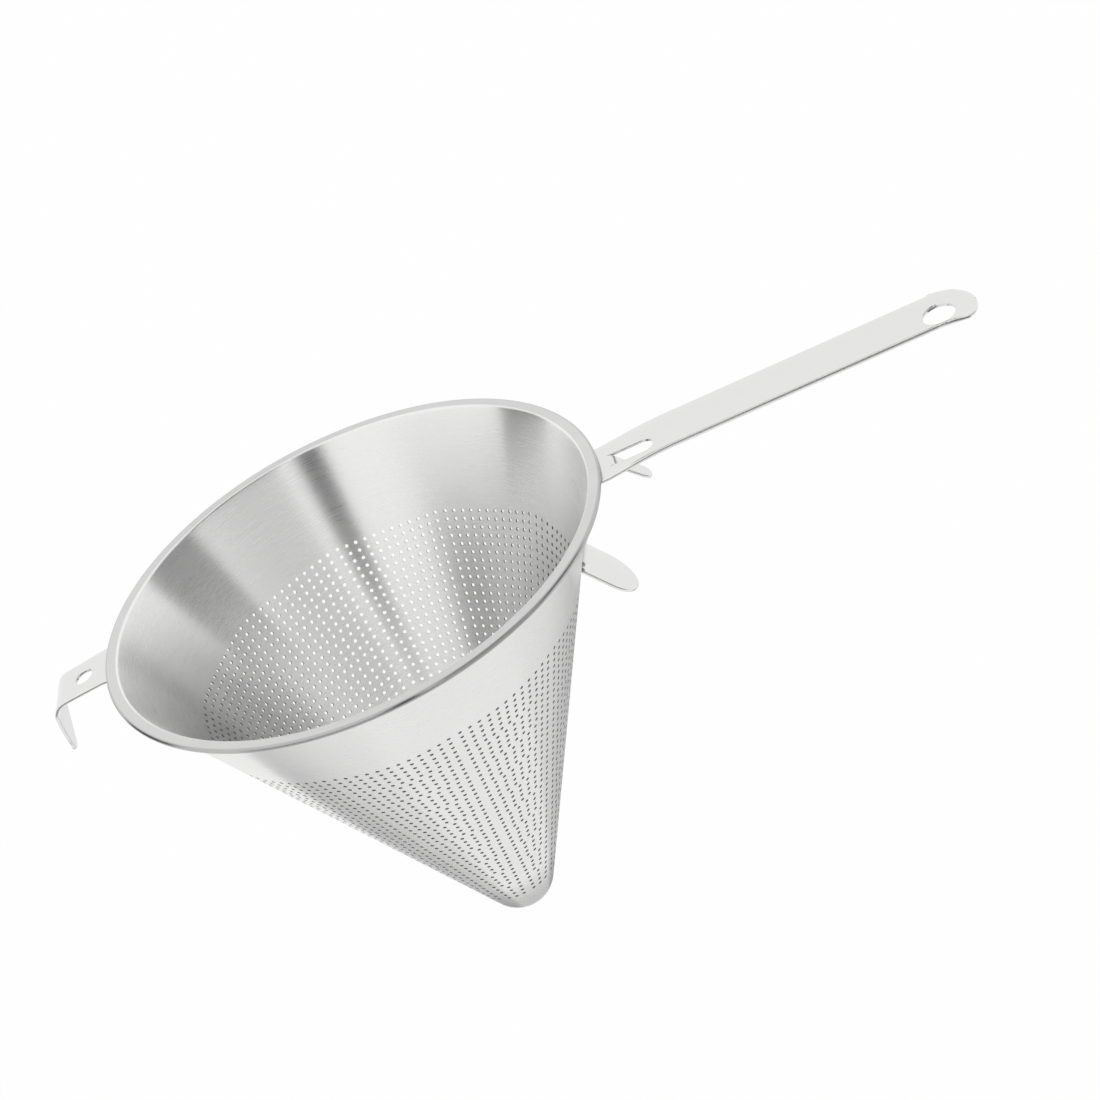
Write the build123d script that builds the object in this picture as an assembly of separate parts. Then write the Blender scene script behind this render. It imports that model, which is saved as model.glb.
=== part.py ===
from build123d import *
from math import atan, cos, degrees, pi, radians, sin, tan
import os

# Driving sizes, in millimetres and degrees. The origin is the centre of the rim's top face,
# +Z points up out of the mouth and +X along the handle.
rim_diameter = 240.0
flange_width = 5.0
apex_depth = 242.0
cone_sheet = 0.8
strip_sheet = 1.5
strip_width = 28.0
handle_reach = 177.8

# Rim: the wall turns out into a flat flange whose edge is curled under
mouth_bend_radius = 1.8
bead_height = 2.6
bead_edge_radius = 1.25
curl_length = 3.4

# Tip: a domed cap welded to the open end of the wall
dome_radius = 17.8
cap_skirt = 6.5
weld_gap = 1.0

# Seam: the rolled wall is closed by a flush butt weld under the handle
seam_azimuth = -2.7
seam_width = 1.2

# Perforations: a plain grid of holes, wider and fewer than the real ones but as open in all
plain_band_width = 51.2
plain_foot_width = 3.7
hole_diameter = 10.0
hole_row_pitch = 22.5
hole_pitch = 24.0

# Where a strip lies on the wall and leaves it under the bead
bead_clearance = 0.05
root_bend_radius = 2.5
root_land_length = 2.5

# Rest leaf: the lower end of the handle strip, turned out from the wall
leaf_depth = 43.0
leaf_slope = 54.0
leaf_length = 31.5
leaf_bend_radius = 3.0

# Handle: a straight rising trough whose long edges are turned up and run out at the round end
floor_slope = 2.2
trough_width = 27.0
floor_flat_width = 12.0
edge_knee_width = 19.0
edge_rise = 3.0
root_ramp_length = 16.5
end_ramp_length = 20.8
end_radius = 17.3
hanging_hole_diameter = 15.0

# Slot in the floor near the bead, with its tongue bent down
slot_start_reach = 4.5
slot_length = 21.0
slot_width = 9.4
tongue_kerf = 0.3
tongue_slope = 46.0
tongue_length = 20.0
tongue_start_inset = 1.5
tongue_corner_inset = 1.5
tongue_bend_radius = 2.4

# Rest hook opposite the handle
hook_root_width = 26.6
hook_bend_width = 24.8
hook_slope = 8.25
hook_reach = 29.2
hook_bend_radius = 7.5
hook_leg_tilt = 11.0
hook_tip_depth = 37.5
hook_tip_radius = 4.5
hook_taper_depth = 10.0
hook_tab_depth = 24.0
hook_hole_diameter = 9.0
hook_hole_reach = 12.8

# Tack welds along the edges of the two strips on the wall
tack_radius = 1.4
handle_tack_depths = (12.0, 36.5, 39.5)
hook_tack_depths = (10.0, 20.0)

# One overrun for every cutting or trimming block
overrun = 5.0

quarter_turn = 90.0
half_turn = 180.0

rim_radius = rim_diameter / 2
mouth_radius = rim_radius - flange_width
half_angle = atan(mouth_radius / apex_depth)
strip_top = -bead_height - bead_clearance
half_strip = strip_width / 2
handle_end_x = rim_radius + handle_reach
slot_start_x = rim_radius + slot_start_reach
hook_bend_x = rim_radius + hook_reach
hook_hole_x = rim_radius + hook_hole_reach


def wall_radius(z):
    """Radius of the wall's outer face at height z."""
    return mouth_radius * (1 + z / apex_depth)


def wall_point(slant, inset=0):
    """Point (radius, height) at a distance from the sharp apex, set in from the outer face."""
    radius = slant * sin(half_angle) - inset * cos(half_angle)
    return (radius, slant * cos(half_angle) - apex_depth + inset * sin(half_angle))


def sheet_section(path, thickness):
    """Section of a bent sheet: the path is one face, the other lies to its right."""
    return make_face(offset(path, amount=thickness, side=Side.RIGHT, kind=Kind.INTERSECTION, closed=True))


def turned(section):
    """Solid of a (radius, height) section turned round the cone's axis."""
    return revolve(Plane.XZ * section, Axis.Z)


def drawn_across(section, width):
    """Solid of an (x, z) section drawn out across the strip."""
    return extrude(Plane.XZ * section, amount=width / 2, both=True)


def end_prism(width, drop, tip_radius, taper_top):
    """Block along X whose outline, seen along X, narrows to a round tip at depth drop."""
    half = width / 2
    tip_centre = tip_radius - drop
    outline = Polyline(
        (-tip_radius, tip_centre),
        (-half, -taper_top),
        (-half, overrun),
        (half, overrun),
        (half, -taper_top),
        (tip_radius, tip_centre),
    )
    tip = ThreePointArc((tip_radius, tip_centre), (0, -drop), (-tip_radius, tip_centre))
    return extrude(Plane.YZ * make_face(outline + tip), amount=handle_end_x, both=True)


# Wall and rim in one sheet, from the cap joint up to the curled edge
joint_slant = dome_radius / tan(half_angle) + cap_skirt
wall_start_slant = joint_slant + weld_gap


def cone_shell():
    inner_corner = mouth_radius - cone_sheet / cos(half_angle)
    path = FilletPolyline(
        wall_point(wall_start_slant, cone_sheet),
        (inner_corner, 0),
        (rim_radius, 0),
        (rim_radius, -bead_height),
        (rim_radius - curl_length, -bead_height),
        radius=[mouth_bend_radius, bead_edge_radius, bead_edge_radius],
    )
    return turned(sheet_section(path, cone_sheet))


def seam_slab():
    length = rim_radius + overrun
    height = apex_depth + overrun
    slab = Box(length, seam_width, height + overrun, align=(Align.MIN, Align.CENTER, Align.MAX))
    return Rot(0, 0, seam_azimuth) * Pos(0, 0, overrun) * slab


def perforation_row(slant):
    """Drills for one row of holes, square to the wall and evenly spaced on both sides of the seam."""
    radius, height = wall_point(slant)
    count = round(2 * pi * radius / hole_pitch)
    drill = Rot(0, quarter_turn + degrees(half_angle), 0) * Cylinder(hole_diameter / 2, 2 * overrun)
    step = 2 * half_turn / count
    first = seam_azimuth + step / 2
    return [Rot(0, 0, first + step * place) * Pos(radius, 0, height) * drill for place in range(count)]


def perforations():
    """Drills for all rows, from the plain band under the rim down to the cap's weld."""
    top = mouth_radius / sin(half_angle) - plain_band_width - hole_diameter / 2
    bottom = wall_start_slant + plain_foot_width + hole_diameter / 2
    last = int((top - bottom) / hole_row_pitch)
    drills = []
    for row in range(last + 1):
        drills += perforation_row(top - row * hole_row_pitch)
    return drills


def tip_weld():
    corners = [
        wall_point(joint_slant),
        wall_point(wall_start_slant),
        wall_point(wall_start_slant, cone_sheet),
        wall_point(joint_slant, cone_sheet),
    ]
    return turned(make_face(Polyline(*corners, close=True)))


def tip_cap():
    tangent_slant = dome_radius / tan(half_angle)
    centre = dome_radius / sin(half_angle) - apex_depth
    inner_radius = dome_radius - cone_sheet
    mid = radians(quarter_turn - degrees(half_angle)) / 2
    outline = [
        Line(wall_point(joint_slant), wall_point(tangent_slant)),
        ThreePointArc(
            wall_point(tangent_slant),
            (dome_radius * sin(mid), centre - dome_radius * cos(mid)),
            (0, centre - dome_radius),
        ),
        Line((0, centre - dome_radius), (0, centre - inner_radius)),
        ThreePointArc(
            (0, centre - inner_radius),
            (inner_radius * sin(mid), centre - inner_radius * cos(mid)),
            wall_point(tangent_slant, cone_sheet),
        ),
        Line(wall_point(tangent_slant, cone_sheet), wall_point(joint_slant, cone_sheet)),
        Line(wall_point(joint_slant, cone_sheet), wall_point(joint_slant)),
    ]
    return turned(make_face(outline))


# Handle: root plate and rest leaf follow the wall, land and grip run out from the bead
root_corner = (wall_radius(strip_top), strip_top)
root_land_end = rim_radius + root_land_length


def root_band(lower_points, lower_radii):
    """Strip that lies on the wall and turns out under the bead, as a full ring."""
    path = FilletPolyline(
        *lower_points,
        root_corner,
        (root_land_end, strip_top),
        radius=lower_radii + [root_bend_radius],
    )
    return turned(sheet_section(path, strip_sheet))


def leaf_and_plate():
    bend = (wall_radius(-leaf_depth), -leaf_depth)
    run = leaf_length * cos(radians(leaf_slope))
    drop = leaf_length * sin(radians(leaf_slope))
    tip = (bend[0] + run, bend[1] - drop)
    ring = root_band([tip, bend], [leaf_bend_radius])
    return ring & leaf_prism(tip[1]) & near_half(1)


def leaf_prism(tip_z):
    """Block along X whose outline, seen along X, gives the sloping leaf a round end."""
    end_height = half_strip * sin(radians(leaf_slope))
    straight = tip_z + end_height
    outline = make_face([
        Polyline((-half_strip, straight), (-half_strip, overrun), (half_strip, overrun), (half_strip, straight)),
        EllipticalCenterArc((0, straight), half_strip, end_height, start_angle=half_turn, arc_size=half_turn),
    ])
    return extrude(Plane.YZ * outline, amount=handle_end_x, both=True)


def near_half(side):
    """Half space on the handle's side (1) or the hook's side (-1) of the axis."""
    size = 2 * handle_end_x
    return Pos(side * size / 2, 0, 0) * Box(size, size, size)


floor_rise = tan(radians(floor_slope))


def floor_z(x):
    """Height of the top of the handle's floor at x."""
    return strip_top + max(x - root_land_end, 0) * floor_rise


def trough_section(x, width, rise):
    """Section across the handle at x, its long edges raised above the floor by rise."""
    half = width / 2
    flat = floor_flat_width / 2
    knee = edge_knee_width / 2
    angle = atan(rise / (half - knee))
    lower_knee = knee + strip_sheet * tan(angle / 2)
    top = floor_z(x)
    under = top - strip_sheet
    edge_top = top + rise
    edge_under = edge_top - strip_sheet / cos(angle)
    outline = [
        Bezier((-half, edge_top), (-knee, top), (-flat, top)),
        Line((-flat, top), (flat, top)),
        Bezier((flat, top), (knee, top), (half, edge_top)),
        Line((half, edge_top), (half, edge_under)),
        Bezier((half, edge_under), (lower_knee, under), (flat, under)),
        Line((flat, under), (-flat, under)),
        Bezier((-flat, under), (-lower_knee, under), (-half, edge_under)),
        Line((-half, edge_under), (-half, edge_top)),
    ]
    return Plane.YZ.offset(x) * make_face(outline)


def plan_prism(half_width, start_x, end_x, tip_radius):
    """Upright block over a strip outline whose far end is an arc of tip_radius."""
    centre = end_x - tip_radius
    straight = centre + (tip_radius * tip_radius - half_width * half_width) ** 0.5
    outline = make_face([
        Polyline((straight, -half_width), (start_x, -half_width), (start_x, half_width), (straight, half_width)),
        ThreePointArc((straight, half_width), (end_x, 0), (straight, -half_width)),
    ])
    return Pos(0, 0, -leaf_depth) * extrude(outline, amount=2 * leaf_depth)


def trough():
    start_x = rim_radius - curl_length
    stations = [
        (start_x, strip_width, 0),
        (root_land_end, strip_width, 0),
        (root_land_end + root_ramp_length, trough_width, edge_rise),
        (handle_end_x - end_ramp_length, trough_width, edge_rise),
        (handle_end_x + overrun, strip_width, 0),
    ]
    sections = [trough_section(*station) for station in stations]
    return loft(sections, ruled=True) & plan_prism(half_strip, start_x - overrun, handle_end_x, end_radius)


def slot_cut():
    return plan_prism(slot_width / 2, slot_start_x, slot_start_x + slot_length, slot_width / 2)


def tongue():
    """Tongue of the slot's own outline, bent down at the slot's inner end."""
    half = slot_width / 2 - tongue_kerf
    start_x = slot_start_x - tongue_start_inset
    corner_x = slot_start_x + tongue_corner_inset
    run = tongue_length * cos(radians(tongue_slope))
    drop = tongue_length * sin(radians(tongue_slope))
    tip = (corner_x + run, floor_z(corner_x) - drop)
    corner = (corner_x, floor_z(corner_x))
    path = FilletPolyline((start_x, floor_z(start_x)), corner, tip, radius=[tongue_bend_radius])
    band = drawn_across(sheet_section(path, strip_sheet), slot_width)
    end_height = half * cos(radians(tongue_slope))
    straight = tip[0] - end_height
    outline = make_face([
        Polyline((straight, -half), (start_x, -half), (start_x, half), (straight, half)),
        EllipticalCenterArc((straight, 0), end_height, half, start_angle=-quarter_turn, arc_size=half_turn),
    ])
    return band & (Pos(0, 0, -leaf_depth) * extrude(outline, amount=2 * leaf_depth))


def hanging_hole():
    """Hole concentric with the round end, square to the floor."""
    x = handle_end_x - end_radius
    return Pos(x, 0, floor_z(x)) * Rot(0, -floor_slope, 0) * Cylinder(hanging_hole_diameter / 2, strip_width)


def handle():
    return leaf_and_plate() + trough() - slot_cut() + tongue() - hanging_hole()


# Rest hook: tab on the wall, arm out from the bead, leg turned down
def hook_arm():
    bend_z = strip_top - (hook_bend_x - root_land_end) * tan(radians(hook_slope))
    leg_end = -hook_tip_depth - overrun
    path = FilletPolyline(
        (rim_radius - curl_length, strip_top),
        (root_land_end, strip_top),
        (hook_bend_x, bend_z),
        (hook_bend_x + (bend_z - leg_end) * tan(radians(hook_leg_tilt)), leg_end),
        radius=[root_bend_radius, hook_bend_radius],
    )
    return drawn_across(sheet_section(path, strip_sheet), hook_root_width)


def hook_plan():
    """Upright block over the arm's plan outline, which narrows from bead to bend."""
    root = hook_root_width / 2
    end = hook_bend_width / 2
    far_x = hook_bend_x + hook_tip_depth
    outline = Polyline(
        (0, -root),
        (rim_radius, -root),
        (hook_bend_x - hook_bend_radius, -end),
        (far_x, -end),
        (far_x, end),
        (hook_bend_x - hook_bend_radius, end),
        (rim_radius, root),
        (0, root),
        close=True,
    )
    return Pos(0, 0, -2 * hook_tip_depth) * extrude(make_face(outline), amount=3 * hook_tip_depth)


def hook_hole():
    drop = (hook_hole_x - root_land_end) * tan(radians(hook_slope))
    place = Pos(hook_hole_x, 0, strip_top - drop) * Rot(0, hook_slope, 0)
    return place * Cylinder(hook_hole_diameter / 2, strip_width)


def rest_hook():
    tab_end = (wall_radius(-hook_tab_depth), -hook_tab_depth)
    tab = root_band([tab_end], []) & near_half(1)
    arm = hook_arm() & end_prism(hook_root_width, hook_tip_depth, hook_tip_radius, hook_taper_depth)
    hook = (tab + arm) & hook_plan()
    return Rot(0, 0, half_turn) * (hook - hook_hole())


def tack_welds(depths, width, side, strip):
    """Beads in the corners between a strip's edges and the wall, on one side of the cone."""
    wall = turned(make_face(Polyline((0, -apex_depth), (mouth_radius, 0), (0, 0), close=True)))
    beads = []
    for depth in depths:
        for edge in (-width / 2, width / 2):
            radius = wall_radius(-depth)
            reach = (radius * radius - edge * edge) ** 0.5
            beads.append(Pos(side * reach, edge, -depth) * Rot(quarter_turn, 0, 0) * Sphere(tack_radius))
    return Compound(children=[bead - strip - wall for bead in beads])


def main():
    shell = cone_shell() - perforations()
    slab = seam_slab()
    handle_part = handle()
    hook_part = rest_hook()
    nodes = {
        "strainer_cone": shell - slab,
        "seam_weld": shell & slab,
        "tip_weld": tip_weld(),
        "tip_cap": tip_cap(),
        "handle": handle_part,
        "rest_hook": hook_part,
        "handle_tack_welds": tack_welds(handle_tack_depths, strip_width, 1, handle_part),
        "hook_tack_welds": tack_welds(hook_tack_depths, hook_root_width, -1, hook_part),
    }
    os.makedirs("parts", exist_ok=True)
    for name, shape in nodes.items():
        export_step(shape, "parts/" + name + ".step")


main()
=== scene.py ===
from math import atan, atan2, ceil, cos, exp, log, pi, radians, sin, sqrt, tan

import bmesh
import bpy
import numpy as np
from bpy.props import FloatProperty, FloatVectorProperty, IntProperty, PointerProperty
from mathutils import Matrix, Vector


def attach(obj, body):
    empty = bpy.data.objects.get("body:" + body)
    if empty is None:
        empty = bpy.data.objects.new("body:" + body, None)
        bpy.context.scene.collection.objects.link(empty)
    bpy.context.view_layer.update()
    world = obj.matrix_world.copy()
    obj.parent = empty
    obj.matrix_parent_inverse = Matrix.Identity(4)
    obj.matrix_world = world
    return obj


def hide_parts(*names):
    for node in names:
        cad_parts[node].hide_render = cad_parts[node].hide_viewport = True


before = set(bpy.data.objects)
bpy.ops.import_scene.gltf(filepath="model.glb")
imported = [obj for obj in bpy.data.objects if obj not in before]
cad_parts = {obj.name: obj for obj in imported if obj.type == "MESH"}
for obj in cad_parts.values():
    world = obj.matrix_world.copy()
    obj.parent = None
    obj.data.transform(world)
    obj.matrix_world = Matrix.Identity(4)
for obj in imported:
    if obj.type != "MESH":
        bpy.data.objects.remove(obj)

bl_info = {
    "name": "Conical Strainer",
    "version": (1, 0, 0),
    "blender": (4, 5, 0),
    "location": "View3D > Sidebar > Strainer",
    "description": "Builds a perforated conical strainer with its strip handle and rest hook",
    "category": "Add Mesh",
}

MILLIMETRE = 0.001
SAME_PLACE = 0.0001 * MILLIMETRE
LEAST_HALF_WIDTH = 0.05 * MILLIMETRE

# How finely bends, strips and turned shapes are drawn
BEND_STEP = radians(6.0)
FINE_STEP = 1.5 * MILLIMETRE
HANDLE_STEP = 2.0 * MILLIMETRE
RIM_STEP = 4.0 * MILLIMETRE
CAP_COLUMNS = 120
STRIP_CREASE = radians(28.0)
SHELL_CREASE = radians(35.0)


def length(name, description, millimetres):
    """A property for a length, with its default in millimetres."""
    return FloatProperty(
        name=name, description=description, default=millimetres * MILLIMETRE, unit="LENGTH", precision=5
    )


def angle(name, description, degrees):
    """A property for an angle, with its default in degrees."""
    return FloatProperty(name=name, description=description, default=radians(degrees), subtype="ANGLE")


def number(name, description, default, least):
    """A property for a number of things."""
    return IntProperty(name=name, description=description, default=default, min=least)


def share(name, description, default):
    """A property for a share, from none to all."""
    return FloatProperty(name=name, description=description, default=default, min=0, max=1, subtype="FACTOR")


def colour(name, description, value):
    """A property for a grey or tinted metal colour."""
    return FloatVectorProperty(
        name=name, description=description, default=value, size=3, min=0, max=1, subtype="COLOR"
    )


class ConeSizes(bpy.types.PropertyGroup):
    """Sizes of the rolled wall, its curled rim and its domed tip"""

    rim_radius: length("Rim Radius", "Outside radius of the curled rim", 120.0)
    flange_width: length("Flange Width", "How far the rim stands out from the wall", 5.0)
    apex_depth: length("Apex Depth", "Depth of the sharp point that the wall's outside aims at", 242.0)
    sheet: length("Sheet", "Thickness of the wall's sheet", 0.8)
    mouth_bend: length("Mouth Bend", "Radius where the wall turns out into the rim", 1.8)
    bead_height: length("Bead Height", "Height of the curled rim", 2.6)
    bead_edge: length("Bead Edge", "Radius along the rim's outer edge", 1.25)
    curl: length("Curl", "How far the rim's edge is turned back underneath", 3.4)
    dome_radius: length("Dome Radius", "Outside radius of the domed tip", 17.8)
    cap_skirt: length("Cap Skirt", "Length of straight wall on the tip cap", 6.5)
    weld_gap: length("Weld Gap", "Width of the weld between cap and wall", 1.0)
    seam_width: length("Seam Width", "Width of the weld that closes the rolled wall", 1.2)
    seam_azimuth: angle("Seam Azimuth", "Where the closing weld runs, from the handle", -2.7)
    facets: number("Facets", "Facets round the cone in each sector", 24, 4)


class HoleSizes(bpy.types.PropertyGroup):
    """Sizes of the pattern of perforations"""

    diameter: length("Diameter", "Diameter of one perforation", 1.8)
    first_row: length("First Row", "Distance of the top row from the wall's point, on the flat blank", 215.9)
    row_pitch: length("Row Pitch", "Distance between rows on the flat blank", 4.16)
    edge_margin: length("Edge Margin", "Distance of a row's last hole from its sector's edge", 2.8)
    rows: number("Rows", "Rows of perforations", 41, 1)
    row_step: number("Row Step", "Rows after which a row loses one hole", 4, 1)
    row_holes: number("Row Holes", "Holes in the top rows of a sector", 12, 2)
    sectors: number("Sectors", "Sectors of perforations round the wall", 10, 3)
    sides: number("Sides", "Sides drawn on each perforation", 12, 6)
    plain_margin: length("Plain Margin", "Plain sheet kept above the top row", 6.1)


class StripSizes(bpy.types.PropertyGroup):
    """Sizes of the handle strip, its rest leaf, slot, tongue and hanging hole"""

    sheet: length("Sheet", "Thickness of the strip", 1.5)
    width: length("Width", "Width of the flat strip", 28.0)
    trough_width: length("Trough Width", "Width over the turned-up edges of the handle", 27.0)
    edge_round: length("Edge Round", "Radius on the strip's deburred edges", 0.45)
    cut_round: length("Cut Round", "Radius on the edges of holes and slot", 0.315)
    clearance: length("Clearance", "Gap between the strip and the underside of the rim", 0.05)
    root_bend: length("Root Bend", "Radius where the strip leaves the wall under the rim", 2.5)
    root_land: length("Root Land", "Level length beyond the rim", 2.5)
    floor_slope: angle("Floor Slope", "Rise of the handle's floor", 2.2)
    floor_bend: length("Floor Bend", "Radius where the handle's floor starts to rise", 10.0)
    floor_flat: length("Floor Flat", "Width of flat floor between the turned-up edges", 12.0)
    edge_knee: length("Edge Knee", "Width between the knees of the turned-up edges", 19.0)
    edge_rise: length("Edge Rise", "Height of the turned-up edges above the floor", 3.0)
    root_ramp: length("Root Ramp", "Length over which the edges turn up near the rim", 34.0)
    end_ramp: length("End Ramp", "Length over which the edges run out at the end", 20.8)
    ramp_overrun: length("Ramp Overrun", "How far past the end the edges would be flat", 5.0)
    reach: length("Reach", "Length of handle beyond the rim", 177.8)
    end_radius: length("End Radius", "Radius of the handle's round end", 17.3)
    end_blend: length("End Blend", "Rounding where the straight sides meet the round end", 1.1)
    hole_diameter: length("Hole Diameter", "Diameter of the hanging hole", 15.0)
    slot_reach: length("Slot Reach", "Distance of the slot from the rim", 4.5)
    slot_length: length("Slot Length", "Length of the slot", 21.0)
    slot_width: length("Slot Width", "Width of the slot", 9.4)
    tongue_length: length("Tongue Length", "Length of the tongue bent out of the slot", 20.0)
    tongue_kerf: length("Tongue Kerf", "Gap on each side of the tongue", 0.3)
    tongue_slope: angle("Tongue Slope", "Angle of the tongue below level", 46.0)
    tongue_bend: length("Tongue Bend", "Radius of the tongue's bend", 2.4)
    leaf_depth: length("Leaf Depth", "Depth at which the rest leaf turns out", 43.0)
    leaf_length: length("Leaf Length", "Length of the rest leaf", 31.5)
    leaf_slope: angle("Leaf Slope", "Angle of the rest leaf below level", 54.0)
    leaf_bend: length("Leaf Bend", "Radius where the rest leaf turns out", 3.0)


class HookSizes(bpy.types.PropertyGroup):
    """Sizes of the rest hook opposite the handle"""

    root_width: length("Root Width", "Width at the rim", 26.6)
    bend_width: length("Bend Width", "Width at the bend", 24.8)
    slope: angle("Slope", "Angle of the arm below level", 8.25)
    reach: length("Reach", "Length of the arm beyond the rim", 29.2)
    bend: length("Bend", "Radius of the bend", 9.5)
    leg_tilt: angle("Leg Tilt", "Angle of the leg out from upright", 11.0)
    leg_power: FloatProperty(
        name="Leg Power", description="How late the leg narrows: 1 is an even taper", default=1.7, min=1
    )
    tip_depth: length("Tip Depth", "Depth of the leg's tip below the rim's top", 37.5)
    tip_radius: length("Tip Radius", "Radius of the leg's tip", 4.5)
    taper_depth: length("Taper Depth", "Depth at which the leg starts to narrow", 10.0)
    tab_depth: length("Tab Depth", "Depth of the tab on the wall", 24.0)
    hole_diameter: length("Hole Diameter", "Diameter of the hole in the arm", 9.0)
    hole_reach: length("Hole Reach", "Distance of the hole from the rim", 12.8)


class TackSizes(bpy.types.PropertyGroup):
    """Sizes of the tack welds along the strips"""

    radius: length("Radius", "Radius of one tack weld", 1.1)
    stand: length("Stand", "How far a tack's middle stands off the wall", 0.6)
    handle_top: length("Handle Top", "Depth of the handle's upper tacks", 12.0)
    handle_mid: length("Handle Middle", "Depth of the handle's middle tacks", 38.9)
    handle_low: length("Handle Low", "Depth of the handle's lower tacks", 41.6)
    hook_top: length("Hook Top", "Depth of the hook's upper tacks", 10.0)
    hook_low: length("Hook Low", "Depth of the hook's lower tacks", 20.0)
    seed: number("Seed", "Seed of the turn that each tack is given", 3, 0)


class Finishes(bpy.types.PropertyGroup):
    """Colours of the metals and of the setting"""

    satin: colour("Satin", "Brushed sheet of the cone", (0.90, 0.90, 0.895))
    polished: colour("Polished", "Polished strip of handle and hook", (0.80, 0.80, 0.795))
    # Painted shade: the walls of the punched holes are coloured dark as if in shade.
    hole_wall_shade: colour("Punched", "Torn edges of the punched holes", (0.27, 0.27, 0.27))
    weld: colour("Weld", "Dressed weld metal", (0.5, 0.5, 0.5))
    heat: colour("Heat Tint", "Straw tint beside a weld", (0.45, 0.42, 0.37))
    floor: colour("Floor", "Floor and backdrop", (1.0, 1.0, 1.0))


class PaintedShadeZones(bpy.types.PropertyGroup):
    """Where painted shade darkens the cone's sheet, and by how much"""

    # Each share below is painted shade: it darkens the sheet's colour on the flange, along the rim's outer
    # edge and towards the tip.
    flange: share("Flange", "How much duller the flange is", 0.55)
    flange_radius: length("Flange Radius", "Radius at which the dull flange starts", 114.5)
    flange_fade: length("Flange Fade", "Width of the fade into the flange", 0.5)
    flange_depth: length("Flange Depth", "Depth at which the dull flange ends", 3.0)
    depth_fade: length("Depth Fade", "Height of the fade at the flange's lower limit", 2 / 3)
    edge: share("Edge", "How much duller the rim's outer edge is", 0.4)
    edge_radius: length("Edge Radius", "Radius at which the dull edge starts", 118.8)
    edge_fade: length("Edge Fade", "Width of the fade into the edge", 0.625)
    tip: share("Tip", "How much duller the tip is", 0.75)
    tip_depth: length("Tip Depth", "Depth at which the tip starts to dull", 185.0)
    tip_fade: length("Tip Fade", "Height of the fade into the tip", 20.0)


class StageSizes(bpy.types.PropertyGroup):
    """Camera and light"""

    aim: FloatVectorProperty(
        name="Aim", description="Point that the camera looks at", default=(0.08727, -0.02757, -0.0169),
        size=3, subtype="TRANSLATION", unit="LENGTH"
    )
    distance: length("Distance", "Distance of the camera from its aim", 1000.0)
    azimuth: angle("Azimuth", "Side on which the camera stands", -82.736)
    elevation: angle("Elevation", "Height of the camera as an angle", 32.119)
    roll: angle("Roll", "Turn of the camera about its own axis", 25.792)
    focal: FloatProperty(name="Focal Length", description="Focal length in millimetres", default=75.27)
    sensor: FloatProperty(name="Sensor", description="Width of the sensor in millimetres", default=36.0)
    far_limit: length("Far Limit", "Distance up to which the camera sees", 100000.0)
    floor_depth: length("Floor Depth", "Depth of the floor below the rim", 900.0)
    floor_half: length("Floor Half", "Half the floor's width", 12000.0)
    floor_glow: share("Floor Glow", "How much of the seen floor is its own light", 0.85)
    high_reach: length("High Reach", "Distance of the cards above the rim", 3000.0)
    low_reach: length("Low Reach", "Distance of the cards below the rim", 850.0)
    light: FloatProperty(name="Light", description="Strength of the light all round", default=0.95, min=0)


def strainer():
    """The sizes and colours of the open scene."""
    return bpy.context.scene.strainer


def arithmetic(operation, swapped=False):
    """An arithmetic sign between a socket and a number or another socket."""

    def apply(term, other):
        pair = (other, term) if swapped else (term, other)
        return term.maker.maths(operation, *pair)

    return apply


class Term:
    """A node socket that Python's arithmetic signs can be written between."""

    __add__ = arithmetic("ADD")
    __radd__ = arithmetic("ADD", swapped=True)
    __sub__ = arithmetic("SUBTRACT")
    __rsub__ = arithmetic("SUBTRACT", swapped=True)
    __mul__ = arithmetic("MULTIPLY")
    __rmul__ = arithmetic("MULTIPLY", swapped=True)
    __truediv__ = arithmetic("DIVIDE")
    __rtruediv__ = arithmetic("DIVIDE", swapped=True)

    def __init__(self, maker, socket):
        self.maker = maker
        self.socket = socket


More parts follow.
